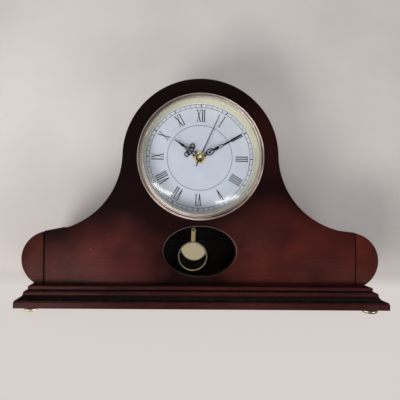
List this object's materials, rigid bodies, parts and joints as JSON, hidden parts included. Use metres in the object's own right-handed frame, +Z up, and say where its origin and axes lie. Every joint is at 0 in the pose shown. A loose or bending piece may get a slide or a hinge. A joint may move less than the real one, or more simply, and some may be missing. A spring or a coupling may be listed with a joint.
{
  "type": "mantel clock",
  "caption": "Tambour mantel clock of dark wood with a round dial in a brass bezel, an oval window with a pendulum behind it, and a door in its back.",
  "frame": {"origin": "centre of the base on the surface the feet stand on", "axes": "+X to the viewer's right along the clock, +Y from front to back, +Z up; the dial faces -Y"},
  "size_m": [0.427, 0.11, 0.2745],
  "materials": {
    "mahogany": "dark stained mahogany under satin lacquer",
    "mahogany_light": "dark stained mahogany with a rubbed, paler look",
    "base_wood": "dark stained mahogany under satin lacquer",
    "raw_board": "plain unlacquered board",
    "polished_brass": "polished and lacquered",
    "brass": "bright",
    "clear_glass": "clear",
    "cream_paint": "cream gloss paint",
    "dial_paint": "bluish white satin paint",
    "black_print": "black printing ink",
    "zinc_steel": "zinc plated",
    "black_paint": "black gloss paint",
    "black_rubber": "matt",
    "black_plastic": "fine moulded texture",
    "grey_plastic": "moulded",
    "board_green": "solder mask",
    "bright_steel": "bright",
    "copper_wire": "enamelled winding",
    "magnet_grey": "sintered",
    "white_nylon": "moulded",
    "battery_wrap": "plain wrapped cell"
  },
  "bodies": {
    "case": {"front_panel": "mahogany", "back_panel": "mahogany", "top_skin": "mahogany", "left_end_block": "mahogany_light", "right_end_block": "mahogany_light", "case_floor": "raw_board", "ledge_board": "base_wood", "cove_moulding": "base_wood", "plinth_board": "base_wood", "foot_front_left": "polished_brass", "foot_front_right": "polished_brass", "foot_rear_left": "polished_brass", "foot_rear_right": "polished_brass", "base_screws": "zinc_steel", "window_pane": "clear_glass", "pane_clips": "brass", "bezel": "polished_brass", "bezel_glass": "clear_glass", "reflector_ring": "cream_paint", "dial_plate": "dial_paint", "dial_print": "black_print", "dial_pan": "zinc_steel", "pan_screws": "zinc_steel", "shaft_nut": "brass", "rubber_washer": "black_rubber", "movement_base": "black_plastic", "movement_cover": "black_plastic", "train_plate": "grey_plastic", "circuit_board": "board_green", "quartz_crystal": "bright_steel", "motor_coil": "copper_wire", "stator": "bright_steel", "battery": "battery_wrap", "battery_contacts": "bright_steel", "pendulum_housing": "black_plastic", "pendulum_coil": "copper_wire", "case_hinge_leaves": "brass", "hinge_pins": "brass", "catch_magnet": "black_plastic"},
    "minute": {"minute_hand": "black_paint", "minute_tube": "brass"},
    "hour": {"hour_hand": "black_paint", "hour_wheel": "white_nylon"},
    "setting": {"minute_wheel": "white_nylon", "setting_knob": "black_plastic"},
    "seconds": {"second_hand": "black_paint", "second_hand_cap": "brass", "seconds_wheel": "white_nylon"},
    "intermediate": {"intermediate_wheel": "white_nylon"},
    "rotor_body": {"rotor": "magnet_grey"},
    "third": {"third_wheel": "white_nylon"},
    "centre": {"centre_wheel": "white_nylon"},
    "pendulum": {"pendulum_lever": "black_plastic", "pendulum_magnet": "magnet_grey", "pendulum_rod": "brass", "pendulum_bob": "polished_brass"},
    "door": {"back_door": "mahogany", "door_hinge_leaves": "brass", "door_knob": "polished_brass", "strike_plate": "zinc_steel"}
  },
  "joints": [
    {"name": "minute_spin", "type": "hinge", "parent": "case", "child": "minute", "pos_m": [0, -0.015, 0.1815], "axis": [0, 1, 0], "continuous": true},
    {"name": "hour_spin", "type": "hinge", "parent": "case", "child": "hour", "pos_m": [0, -0.015, 0.1815], "axis": [0, 1, 0], "continuous": true},
    {"name": "setting_spin", "type": "hinge", "parent": "case", "child": "setting", "pos_m": [-0.0045, -0.015, 0.18929], "axis": [0, 1, 0], "continuous": true},
    {"name": "seconds_spin", "type": "hinge", "parent": "case", "child": "seconds", "pos_m": [0, -0.015, 0.1815], "axis": [0, 1, 0], "continuous": true},
    {"name": "intermediate_spin", "type": "hinge", "parent": "case", "child": "intermediate", "pos_m": [0.0036, -0.015, 0.18774], "axis": [0, 1, 0], "continuous": true},
    {"name": "rotor_spin", "type": "hinge", "parent": "case", "child": "rotor_body", "pos_m": [0.00949, -0.015, 0.19114], "axis": [0, 1, 0], "continuous": true},
    {"name": "third_spin", "type": "hinge", "parent": "case", "child": "third", "pos_m": [-0.0086, -0.015, 0.1815], "axis": [0, 1, 0], "continuous": true},
    {"name": "centre_spin", "type": "hinge", "parent": "case", "child": "centre", "pos_m": [0, -0.015, 0.1815], "axis": [0, 1, 0], "continuous": true},
    {"name": "pendulum_swing", "type": "hinge", "parent": "case", "child": "pendulum", "pos_m": [-0.0043, -0.015, 0.147], "axis": [0, 1, 0], "range_deg": [-9.8, 6.2]},
    {"name": "door_hinge", "type": "hinge", "parent": "case", "child": "door", "pos_m": [-0.055, 0.0432, 0.15], "axis": [0, 0, 1], "range_deg": [0, 170]}
  ],
  "couplings": [
    {"joint": "hour_spin", "follows": "minute_spin", "ratio": 0.083333},
    {"joint": "setting_spin", "follows": "minute_spin", "ratio": -0.33333},
    {"joint": "intermediate_spin", "follows": "seconds_spin", "ratio": -4},
    {"joint": "rotor_spin", "follows": "seconds_spin", "ratio": 30},
    {"joint": "third_spin", "follows": "seconds_spin", "ratio": -0.13333},
    {"joint": "centre_spin", "follows": "seconds_spin", "ratio": 0.016667}
  ]
}
